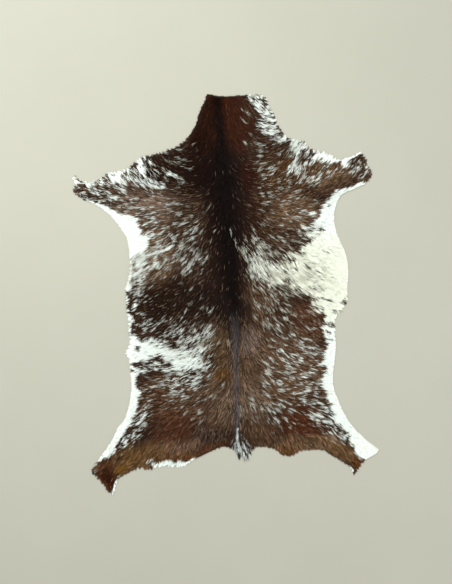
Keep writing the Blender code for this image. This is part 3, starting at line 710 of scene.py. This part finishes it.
def in_fleck(points, centre, length, width):
    """How far each point is in a fleck that lies along the hair."""
    lie = hair_direction(centre[None])[0]
    x, y = (points - centre).T
    u = (x * lie[0] + y * lie[1]) / (length / 2)
    v = (y * lie[0] - x * lie[1]) / (width / 2)
    return np.clip(1.9 - 1.2 * np.hypot(u, v), 0, 1)


def add_flecks(chart, field, tables, value, ragged):
    """The field with the flecks of the tables drawn in it at a value, their edges ragged."""
    spots = chart.shaped(chart.points + ragged)
    for table in tables.values():
        for x, y, length, width in table:
            centre = np.array([x, y], float)
            reach = length + 2
            i0, j0 = np.maximum((centre - chart.low - reach) / chart.cell, 0).astype(int)
            i1, j1 = ((centre - chart.low + reach) / chart.cell).astype(int) + 2
            points = spots[j0:j1, i0:i1]
            inside = in_fleck(points.reshape(-1, 2), centre, length, width)
            inside = inside.reshape(points.shape[:2])
            field[j0:j1, i0:i1] = blend(field[j0:j1, i0:i1], value, inside)
    return field


def white_chart(chart, within):
    """The share of white hair over the chart, with its flecks and without, and how grey it is."""
    warp = noise_pair(chart.points, 26, 31) * 7
    teeth = hair_direction(chart.points) * smooth_noise(chart.points, 7, 35)[:, None] * 4
    ragged = noise_pair(chart.points, 4, 36) * 2
    points = chart.points + warp + teeth
    near = chart.points + teeth + ragged
    share = np.zeros(len(points))
    for shape in [*FLECKED, *AREAS, *PATCHES]:
        if isinstance(shape, Area):
            inside = in_area(near, shape)
        else:
            inside = in_patch(points, shape, shape.soft)
        share = blend(share, shape.share, inside)

    # the dark stripe of the back has hardly any white hair
    stripe = back_line(points[:, 1], "half_width") + 14
    from_back = np.abs(points[:, 0] - back_line(points[:, 1], "x")) / stripe
    share *= 0.05 + 0.95 * np.clip(from_back - 0.8, 0, 1) ** 0.7
    # where nearly all hair is white, the last dark hairs go too
    share = chart.shaped(share + 0.14 * np.clip(share * 10 - 9, 0, 1))

    # the flecks are where the noise, spread evenly from 0 to 1, is below the share
    mixed, broad = strongest(points, MIXED), chart.shaped(strongest(points, BROAD))
    noise = strokes(chart, 3.4, 3, 41) + 0.4 * strokes(chart, 2.4, 6, 42)
    noise += 0.5 * strokes(chart, 10, 8, 43)
    noise = noise * (1 - 0.7 * broad) + 1.1 * broad * strokes(chart, 6.5, 4, 47)
    noise = ranked(noise, within)
    white = np.clip((share - noise) / chart.shaped(0.26 + 0.8 * mixed) + 0.5, 0, 1)
    white *= np.clip(share / 0.06, 0, 1)
    white = add_flecks(chart, white, WHITE_FLECKS, 0.64, ragged)
    white = add_flecks(chart, white, DARK_FLECKS, 0.15, ragged)
    veil = np.clip(0.4 + 0.35 * strokes(chart, 4.0, 16, 44), 0, 1) * chart.shaped(mixed)
    return white, share, veil


def dark_chart(chart):
    """The colour of the dark hair at each place of the chart, and the share of tan hair in it."""
    points = chart.points + noise_pair(chart.points, 34, 33) * 9
    colour = np.tile(to_linear(DARK), (len(points), 1))
    tan = np.full(len(points), 0.1)
    for tone in TONES:
        inside = in_patch(points, tone, TONE_SOFT) * tone.strength
        colour = blend(colour, to_linear(tone.colour), inside[:, None])
        tan = blend(tan, tone.tan, inside)

    # the stripe of the back is black in front and slate grey behind
    y = chart.points[:, 1]
    from_back = (chart.points[:, 0] - back_line(y, "x")) / back_line(y, "half_width")
    stripe = back_line(y, "strength") * np.exp(-(np.abs(from_back) ** 2.6))
    rear = np.clip((-40 - y) / 90, 0, 1)[:, None]
    colour = blend(colour, blend(to_linear(BLACK), to_linear(SLATE), rear), stripe[:, None])
    tan *= 1 - 0.8 * stripe

    # light and dark strokes, the stronger the more tan hair there is
    uneven = chart.shaped(0.14 + 0.5 * np.clip(tan / 0.4, 0, 1))
    shade = strokes(chart, 2.8, 5, 45) + 0.5 * strokes(chart, 14, 16, 46)
    return chart.shaped(colour) * np.exp(uneven * 0.5 * shade)[..., None], chart.shaped(tan)


# Making hair

# Hairs are kept as arrays with a row for each: where a hair starts and ends, how far it bends to
# the side, how much its tip lifts, its width, its colour, and how bright its root and tip are,
# as painted shade that darkens each hair towards its root and painted light on the tips of dark
# hairs.


def hair_mesh(name, hairs, chart, top, material):
    """One piece of all these hairs, each a thin ridge that tapers to its tip."""
    count = len(hairs["root"])
    # places along a hair, and how wide it is there and how high it lies in the coat
    stations = np.array([0.0, 0.55, 1.0])
    widths = np.array([0.85, 1.0, 0.0])
    heights = np.array([0.38, 0.86, 1.0])
    run = hairs["tip"] - hairs["root"]
    along = run / np.linalg.norm(run, axis=1)[:, None]
    side = np.stack([-along[:, 1], along[:, 0]], axis=1)
    corners = []
    for t, wide, high in zip(stations, widths, heights, strict=True):
        middle = hairs["root"] + run * t + side * (hairs["bend"] * 4 * t * (1 - t))[:, None]
        full = chart.read(top, middle)
        z = SKIN * 0.6 + (full - SKIN * 0.6) * high * (1 + hairs["lift"] * t)
        half = side * (hairs["width"] * wide / 2)[:, None]
        if wide == 0:
            corners.append(np.column_stack([middle, z]))
            continue
        corners.append(np.column_stack([middle + half, z]))
        corners.append(np.column_stack([middle, z + hairs["width"] * wide * 0.42]))
        corners.append(np.column_stack([middle - half, z]))
    vertices = np.stack(corners, axis=1)
    per_hair = vertices.shape[1]
    quads = [(1, 4, 3, 0), (2, 5, 4, 1)]
    tips = [(4, 6, 3), (5, 6, 4)]
    first = (np.arange(count) * per_hair)[:, None, None]
    quad_loops = (np.array(quads)[None] + first).reshape(count, -1)
    tip_loops = (np.array(tips)[None] + first).reshape(count, -1)
    loops = np.concatenate([quad_loops, tip_loops], axis=1).ravel()
    sizes = np.tile([4] * len(quads) + [3] * len(tips), count)
    starts = np.concatenate([[0], np.cumsum(sizes)[:-1]])

    mesh = bpy.data.meshes.new(name)
    mesh.vertices.add(count * per_hair)
    mesh.vertices.foreach_set("co", (vertices * MM).astype(np.float32).ravel())
    mesh.loops.add(len(loops))
    mesh.loops.foreach_set("vertex_index", loops.astype(np.int32))
    mesh.polygons.add(len(sizes))
    mesh.polygons.foreach_set("loop_start", starts.astype(np.int32))
    mesh.polygons.foreach_set("use_smooth", np.ones(len(sizes), bool))
    mesh.update(calc_edges=True)
    mesh.materials.append(material)

    # painted shade: the colour darkens from each hair's tip towards its root
    levels = np.repeat(stations, [3, 3, 1])
    shade = blend(hairs["root_shade"][:, None], hairs["tip_shade"][:, None], levels**2)
    paint(mesh, hairs["colour"][:, None] * shade[..., None])

    # each hair has its own cell of the map
    across = math.ceil(math.sqrt(count))
    cell = 1.0 / across
    spots = np.arange(count)
    corner = np.stack([spots % across, spots // across], axis=1) * cell
    u = np.array([0.1, 0.5, 0.9] * 2 + [0.5])
    v = 0.1 + 0.8 * levels
    uv = corner[:, None, :] + np.stack([u, v], axis=1)[None] * cell
    layer = mesh.uv_layers.new(name="OFBake")
    layer.uv.foreach_set("vector", uv.reshape(-1, 2)[loops].astype(np.float32).ravel())
    return add_object(name, mesh)


def hex_points(low, high, step, jitter):
    """Points in rows of a honeycomb that fills the box from low to high, each moved a little."""
    rise = step * math.sqrt(0.75)
    rows = int((high[1] - low[1]) / rise) + 2
    columns = int((high[0] - low[0]) / step) + 2
    j, i = np.mgrid[0:rows, 0:columns]
    x, y = low[0] + (i + 0.5 * (j % 2)) * step, low[1] + j * rise
    points = np.stack([x, y], axis=-1).reshape(-1, 2)
    return points + rng.uniform(-jitter, jitter, points.shape)


def only(hairs, kept):
    """The hairs that the mask keeps."""
    return {key: values[kept] for key, values in hairs.items()}


def trimmed(hairs, chart, inside):
    """The hairs, shortened where they reach past the rim, without those that still do."""
    limit = -rng.uniform(*PAST_RIM, len(hairs["root"]))
    for _ in range(6):  # each round takes a little off
        past = chart.read(inside, hairs["tip"]) < limit
        reach = hairs["tip"][past] - hairs["root"][past]
        hairs["tip"][past] = hairs["root"][past] + reach * 0.82
    length = np.linalg.norm(hairs["tip"] - hairs["root"], axis=1)
    ends_inside = chart.read(inside, hairs["tip"]) > limit - 0.6
    return only(hairs, ends_inside & (length > SHORTEST_HAIR))


def coloured(hairs, chart, marks, mixing):
    """Colours for the hairs: white, tan or dark by the charts where most of the hair shows."""
    count = len(hairs["root"])
    shown = hairs["root"] + (hairs["tip"] - hairs["root"]) * 0.7
    share = chart.read(marks["share"], shown)
    white = chart.read(marks["white"], shown)
    dense = np.clip((share - 0.15) / 0.6, 0, 1)
    chance = white * (0.92 + 0.08 * dense) + 0.04 * (share > 0.1)
    is_white = chance > rng.uniform(0.5 - mixing, 0.5 + mixing, count)

    # white hair turns to cream at the wedge, and is less bright where it is thin or faint
    x, y = shown.T
    cream = np.clip((x - 20) / 160, 0, 1) * np.clip((150 - np.abs(y - 40)) / 60, 0, 1)
    pale = blend(to_linear(WHITE), to_linear(CREAM), cream[:, None])
    bright = np.clip(np.maximum((white - 0.3) * 1.2, dense), 0, 1)
    faint = 0.4 * (1 - np.clip(share / 0.16, 0, 1)) + 0.5 * chart.read(marks["veil"], shown)
    dim = 1 - (1 - rng.uniform(0, 1, count) * (0.56 - 0.42 * bright)) * (1 - faint)
    pale = pale * (1 - dim[:, None] * DIM_HAIR)

    # dark hair is uneven, with tan hairs in it, partly lighter hairs and partly painted sheen, and
    # where there is no tan a few single hairs made lighter as painted glints
    tan = chart.read(marks["tan"], shown)
    # painted sheen, with real lighter hairs: the tan hairs among the dark ones
    is_tan_or_sheen = rng.uniform(0, 1, count) < tan * 0.8
    deep = chart.read(marks["dark"], shown)
    deep = np.where(is_tan_or_sheen[:, None], deep * 0.5 + to_linear(TAN_AND_SHEEN) * 0.38, deep * 0.85)
    # painted glints: a few dark hairs made much lighter
    painted_glint = 2.0 * (rng.uniform(0, 1, count) < 0.06) * np.clip(1 - tan / 0.12, 0, 1)
    uneven = np.exp(rng.normal(0, 1, count) * (0.18 + 0.75 * tan)) * (1 + painted_glint)
    deep = deep * WARM_HAIR * uneven[:, None]

    hairs["colour"] = np.where(is_white[:, None], pale, deep)
    hairs["is_white"] = is_white
    # painted shade: each hair darkens towards its root, as if shaded by the hairs over it, and dark
    # hairs get lighter tips as painted light
    hairs["root_shade"] = np.where(is_white, 0.34 + 0.3 * bright + 0.26 * dense, 0.55)
    hairs["tip_shade"] = np.where(is_white, 1.0, rng.uniform(1.0, 1.5, count))
    return hairs


def coat_hairs(chart, fields):
    """The hairs of the whole coat, tuft by tuft."""
    tufts = hex_points(chart.low, chart.points[-1], TUFT_STEP, TUFT_STEP * 0.36)
    tufts = tufts[chart.read(fields["skin"], tufts) > 0.6]
    pile = np.clip((chart.read(fields["top"], tufts) - SKIN) / FULL_PILE, 0.2, 1.3)
    sway = smooth_noise(tufts, 42, 51) * 0.16 + rng.normal(0, 0.16, len(tufts))
    lie = turned(hair_direction(tufts), sway)
    side = np.stack([-lie[:, 1], lie[:, 0]], axis=1)
    length = HAIR_LENGTH * (0.42 + 0.58 * pile) * rng.uniform(0.85, 1.15, len(tufts))

    def spread(values):
        return np.repeat(values, TUFT_HAIRS, axis=0)

    # the hairs of a tuft start all over it and run together towards their tips
    count = len(tufts) * TUFT_HAIRS
    ahead = rng.uniform(-0.75, 0.75, count) * TUFT_STEP
    aside = rng.uniform(-0.62, 0.62, count) * TUFT_STEP
    centre, lie, side, length = spread(tufts), spread(lie), spread(side), spread(length)
    start = -0.35 * length + ahead
    root = centre + lie * start[:, None] + side * aside[:, None]
    end = start * 0.8 + length * rng.uniform(0.85, 1.15, count)
    end_aside = aside * 0.42 + rng.normal(0, 1.1, count)
    tip = centre + lie * end[:, None] + side * end_aside[:, None]
    on_skin = chart.read(fields["skin"], root) > 0.3
    hairs = {
        "root": root,
        "tip": tip,
        "bend": rng.normal(0, 0.6, count),
        "lift": spread(rng.normal(0, 0.07, len(tufts))) + rng.normal(0, 0.05, count),
        "width": HAIR_WIDTH * rng.uniform(0.75, 1.25, count),
    }
    return trimmed(only(hairs, on_skin), chart, fields["rim"])


def tail_hairs(chart, fields, count):
    """The brush of the tail, in locks that fan out from the tail's line, count hairs to a lock."""
    locks = np.array(TAIL_LOCKS, float)
    first, last, pale = locks[:, 0:2], locks[:, 2:4], locks[:, 4]
    every = np.repeat(np.arange(len(locks)), count)
    number = len(every)
    run = (last - first)[every]
    at = rng.uniform(0, 0.4, number)[:, None]
    to = np.minimum(at + rng.uniform(0.45, 0.75, number)[:, None], 1.03)
    root = first[every] + run * at + rng.normal(0, 1, (number, 2)) * (1.0 + 5.0 * at * (1 - at))
    tip = first[every] + run * to + rng.normal(0, 1, (number, 2)) * (2.6 - 1.6 * to)
    hairs = {
        "root": root,
        "tip": tip,
        "bend": rng.normal(0, 1.0, number),
        "lift": 0.1 + 0.012 * every + rng.normal(0, 0.08, number),
        "width": HAIR_WIDTH * rng.uniform(0.6, 0.9, number),
    }
    is_white = rng.uniform(0, 1, number) < pale[every]
    shade = rng.uniform(0.5, 1.0, number)[:, None]
    hairs["colour"] = np.where(is_white[:, None], to_linear(WHITE), to_linear(TAIL_DARK)) * shade
    # painted shade at the root of each hair of the tail
    hairs["root_shade"] = np.full(number, 0.8)
    hairs["tip_shade"] = np.full(number, 1.0)
    return trimmed(hairs, chart, fields["rim"])


def lock_hairs(ring, chart, fields):
    """The hairs of the locks at the rim, from the skin's edge to each lock's tip."""
    roots, ends = [], []
    for i in np.flatnonzero(ring[:, 2] < LOCK_TIP):
        # a lock starts between the points two before and two after its tip
        before, after = ring[(i - 2) % len(ring), :2], ring[(i + 2) % len(ring), :2]
        tip = ring[i, :2]
        inward = (before + after) / 2 - tip
        inward /= max(np.linalg.norm(inward), 1e-6)
        for _ in range(int(rng.uniform(4, 24))):
            share = rng.uniform(-0.1, 1.1)
            start = before + (after - before) * share + inward * rng.uniform(1, 7)
            roots.append(start)
            ends.append(tip + (start - tip) * rng.uniform(-0.02, 0.3) + rng.normal(0, 0.7, 2))
    roots, ends = np.array(roots), np.array(ends)
    count = len(roots)
    hairs = {
        "root": roots,
        "tip": ends,
        "bend": rng.normal(0, 0.5, count),
        "lift": rng.normal(0, 0.06, count),
        "width": HAIR_WIDTH * rng.uniform(0.8, 1.3, count),
    }
    on_skin = chart.read(fields["skin"], roots) > -1.0
    return trimmed(only(hairs, on_skin), chart, fields["rim"])


# The skin and the underfur


def sheet_faces(rim, step):
    """Points and triangles that fill the rim, with points step apart inside it."""
    inner = hex_points(rim.min(axis=0), rim.max(axis=0), step, step * 0.15)
    inner = inner[distance_in(inner, rim) > step * 0.55]
    flat = [Vector(p) for p in np.concatenate([rim, inner])]
    loop = [(i, (i + 1) % len(rim)) for i in range(len(rim))]
    spots, _, faces, _, _, _ = geometry.delaunay_2d_cdt(flat, loop, [], 1, 1e-6)
    return np.array(spots), faces


def skin_sheet(name, rim):
    """The tanned skin, closed, with a cut edge all round, and its flat area in square metres."""
    points, faces = sheet_faces(rim, SKIN_STEP)
    count = len(points)
    thick = SKIN * (1 + 0.06 * smooth_noise(points, 30, 61))
    top = np.column_stack([points, thick])
    bottom = np.column_stack([points, np.zeros(count)])
    directed = set()
    for face in faces:
        directed.update(zip(face, face[1:] + face[:1], strict=True))
    all_faces = [tuple(f) for f in faces] + [tuple(i + count for i in reversed(f)) for f in faces]
    for a, b in directed:
        if (b, a) not in directed:
            all_faces.append((a, a + count, b + count, b))
    mesh = bpy.data.meshes.new(name)
    mesh.from_pydata((np.concatenate([top, bottom]) * MM).tolist(), [], all_faces)
    mesh.shade_smooth()
    mesh.set_sharp_from_angle(angle=math.radians(50))
    area = 0.0
    for face in faces:
        (ax, ay), (bx, by), (cx, cy) = points[list(face)]
        area += abs((bx - ax) * (cy - ay) - (cx - ax) * (by - ay)) / 2
    return add_object(name, mesh), area * MM * MM


def underfur(name, rim, chart, fields, colours, marks):
    """The dense short fur under the coat, a soft surface in the coat's colours darkened with
    painted shade.
    """
    points, faces = sheet_faces(rim, UNDERFUR_STEP)
    full = chart.read(fields["top"], points)
    edge = np.clip(chart.read(fields["skin"], points) / 5, 0, 1)
    lumps = 1 + 0.16 * smooth_noise(points, 6, 71) * edge
    z = SKIN + 0.25 + (full - SKIN) * UNDERFUR * edge * lumps
    mesh = bpy.data.meshes.new(name)
    mesh.from_pydata((np.column_stack([points, z]) * MM).tolist(), [], [tuple(f) for f in faces])
    mesh.shade_smooth()
    # painted shade: the underfur takes the coat's colours darkened, as shade under the coat
    share = np.clip((colours.read(marks["share"], points) - 0.45) / 0.4, 0, 1)[:, None]
    dark = colours.read(marks["dark"], points) * 0.6
    paint(mesh, blend(dark, to_linear(CREAM) * 0.8, share))
    return add_object(name, mesh)


# Materials


def new_material(name, roughness, specular):
    """A new material with its node tree and its shader."""
    material = bpy.data.materials.new(name)
    material.use_nodes = True
    tree = material.node_tree
    shader = tree.nodes["Principled BSDF"]
    shader.inputs["Roughness"].default_value = roughness
    shader.inputs["Specular IOR Level"].default_value = specular
    return material, tree, shader


def noise_node(tree, scale, detail, roughness=0.6):
    """A noise texture fixed to the object."""
    place = tree.nodes.new("ShaderNodeTexCoord")
    noise = tree.nodes.new("ShaderNodeTexNoise")
    noise.inputs["Scale"].default_value = scale
    noise.inputs["Detail"].default_value = detail
    noise.inputs["Roughness"].default_value = roughness
    tree.links.new(place.outputs["Object"], noise.inputs["Vector"])
    return noise


def hair_material(name, roughness, specular, shades):
    """Hair in the colours of the coat, uneven along each hair between two shades."""
    material, tree, shader = new_material(name, roughness, specular)
    coat = tree.nodes.new("ShaderNodeVertexColor")
    coat.layer_name = "coat"
    noise = noise_node(tree, scale=420, detail=3)
    shade = tree.nodes.new("ShaderNodeMapRange")
    shade.inputs["To Min"].default_value, shade.inputs["To Max"].default_value = shades
    mix = tree.nodes.new("ShaderNodeMix")
    mix.data_type = "RGBA"
    mix.blend_type = "MULTIPLY"
    mix.inputs["Factor"].default_value = 1.0
    tree.links.new(noise.outputs["Fac"], shade.inputs["Value"])
    tree.links.new(coat.outputs["Color"], mix.inputs["A"])
    tree.links.new(shade.outputs["Result"], mix.inputs["B"])
    tree.links.new(mix.outputs["Result"], shader.inputs["Base Color"])
    return material


def suede_material(name):
    """The flesh side: pale tanned suede with a fine nap and soft uneven patches."""
    material, tree, shader = new_material(name, roughness=0.9, specular=0.2)
    patches = noise_node(tree, scale=9, detail=5)
    ramp = tree.nodes.new("ShaderNodeValToRGB")
    ramp.color_ramp.elements[0].position = 0.3
    ramp.color_ramp.elements[0].color = (*to_linear((196, 180, 156)), 1)
    ramp.color_ramp.elements[1].position = 0.72
    ramp.color_ramp.elements[1].color = (*to_linear((226, 215, 196)), 1)
    nap = noise_node(tree, scale=1400, detail=4, roughness=0.7)
    bump = tree.nodes.new("ShaderNodeBump")
    bump.inputs["Strength"].default_value = 0.35
    bump.inputs["Distance"].default_value = 0.0006
    tree.links.new(patches.outputs["Fac"], ramp.inputs["Fac"])
    tree.links.new(ramp.outputs["Color"], shader.inputs["Base Color"])
    tree.links.new(nap.outputs["Fac"], bump.inputs["Height"])
    tree.links.new(bump.outputs["Normal"], shader.inputs["Normal"])
    return material


def floor_material(name):
    """A plain pale floor with a hint of uneven shade."""
    material, tree, shader = new_material(name, roughness=0.7, specular=0.2)
    noise = noise_node(tree, scale=2.5, detail=3)
    ramp = tree.nodes.new("ShaderNodeValToRGB")
    ramp.color_ramp.elements[0].color = (*to_linear((165, 164, 151)), 1)
    ramp.color_ramp.elements[1].color = (*to_linear((173, 172, 160)), 1)
    tree.links.new(noise.outputs["Fac"], ramp.inputs["Fac"])
    tree.links.new(ramp.outputs["Color"], shader.inputs["Base Color"])
    return material


# The stage


def add_camera():
    """The camera, looking straight down at the photo's scale."""
    data = bpy.data.cameras.new("camera")
    data.lens = 50
    data.sensor_width = 36
    camera = add_object("camera", data)
    height = CAMERA_VIEW * data.lens / data.sensor_width
    camera.location = (*CAMERA_CENTRE, height + cad_high.z * 0.6)
    bpy.context.scene.camera = camera


def add_light(name, place, size, energy, colour):
    """A square area light that shines from its place to the middle of the rug."""
    data = bpy.data.lights.new(name, "AREA")
    data.size = size
    data.energy = energy
    data.color = colour
    light = add_object(name, data)
    light.location = place
    light.rotation_mode = "QUATERNION"
    light.rotation_quaternion = (-Vector(place)).to_track_quat("-Z", "Y")


def add_stage():
    """The pale floor in soft daylight from the upper left, with a weaker light to fill."""
    mesh = bpy.data.meshes.new("floor")
    half, drop = 30.0, 0.0004  # half its width, and how far under the rug it is, in metres
    corners = [(-half, -half), (half, -half), (half, half), (-half, half)]
    mesh.from_pydata([(x, y, -drop) for x, y in corners], [], [(0, 1, 2, 3)])
    mesh.materials.append(floor_material("pale floor"))
    add_object("floor", mesh)
    world = bpy.data.worlds.new("soft room")
    world.use_nodes = True
    background = world.node_tree.nodes["Background"]
    background.inputs["Color"].default_value = (0.96, 0.98, 0.975, 1)
    background.inputs["Strength"].default_value = 0.58
    bpy.context.scene.world = world
    add_light("window", (-1.25, 1.55, 2.6), size=1.0, energy=112, colour=(0.99, 0.99, 0.965))
    add_light("fill", (1.9, -0.9, 2.2), size=2.0, energy=32, colour=(0.98, 0.98, 0.98))
    bpy.context.scene.view_settings.view_transform = "Standard"


# Building the rug


def read_fields(tree, ring, rim, chart):
    """The coat's height over the chart, and how far inside the rim and the skin's edge it is."""
    tops = []
    for x, y in chart.points:
        hit = tree.ray_cast(Vector((x, y, 100)), Vector((0, 0, -1)))[0]
        tops.append(hit.z if hit else 0.0)
    return {
        "top": chart.shaped(np.maximum(tops, SKIN)),
        "rim": chart.shaped(distance_in(chart.points, ring[:, :2])),
        "skin": chart.shaped(distance_in(chart.points, rim)),
    }


def sorted_coat(coat):
    """Which hairs of the coat belong to each of its pieces, by colour and side."""
    white = coat["is_white"]
    left = coat["root"][:, 0] < 0
    light = coat["colour"] @ np.array([0.3, 0.6, 0.1])
    black = ~white & (light < np.median(light[~white]))
    brown = ~white & ~black
    return {
        "white_hair_left": white & left,
        "white_hair_right": white & ~left,
        "black_hair_left": black & left,
        "black_hair_right": black & ~left,
        "brown_hair_left": brown & left,
        "brown_hair_right": brown & ~left,
    }


def build():
    """The whole rug, piece by piece."""
    ring, tree = read_hide(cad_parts["hide"].data)
    low = ring[:, :2].min(axis=0) - CHART_MARGIN
    high = ring[:, :2].max(axis=0) + CHART_MARGIN
    chart = Chart(low, high, HEIGHT_CELL)
    colours = Chart(low, high, COLOUR_CELL)
    on_leg = np.abs(ring[:, 0]) > TAIL_REACH
    has_skin = (ring[:, 2] > CLEAN_RIM) & ((ring[:, 1] > TAIL_SKIN_END) | on_leg)
    rim = ring[has_skin, :2]
    fields = read_fields(tree, ring, rim, chart)
    within = colours.shaped(chart.read(fields["rim"], colours.points) > 0)
    marks = {}
    marks["white"], marks["share"], marks["veil"] = white_chart(colours, within)
    marks["dark"], marks["tan"] = dark_chart(colours)

    skin, area = skin_sheet("hide_skin", rim)
    skin.data.materials.append(suede_material("suede"))
    under = underfur("underfur", rim, chart, fields, colours, marks)
    fur = hair_material("underfur", roughness=0.85, specular=0.1, shades=(0.6, 1.1))
    under.data.materials.append(fur)
    pale_hair = hair_material("white hair", roughness=0.55, specular=0.2, shades=(0.92, 1.06))
    dark_hair = hair_material("dark hair", roughness=0.45, specular=0.03, shades=(0.75, 1.2))

    pieces = [under]
    coat = coloured(coat_hairs(chart, fields), colours, marks, COAT_MIXING)
    for name, chosen in sorted_coat(coat).items():
        material = pale_hair if "white" in name else dark_hair
        pieces.append(hair_mesh(name, only(coat, chosen), chart, fields["top"], material))
    locks = coloured(lock_hairs(ring, chart, fields), colours, marks, LOCK_MIXING)
    pieces.append(hair_mesh("rim_locks", locks, chart, fields["top"], pale_hair))
    tail = tail_hairs(chart, fields, TAIL_LOCK_HAIRS)
    pieces.append(hair_mesh("tail_brush", tail, chart, fields["top"], pale_hair))

    for piece in [skin, *pieces]:
        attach(piece, "root")
    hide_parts("hide")


build()
add_stage()
add_camera()
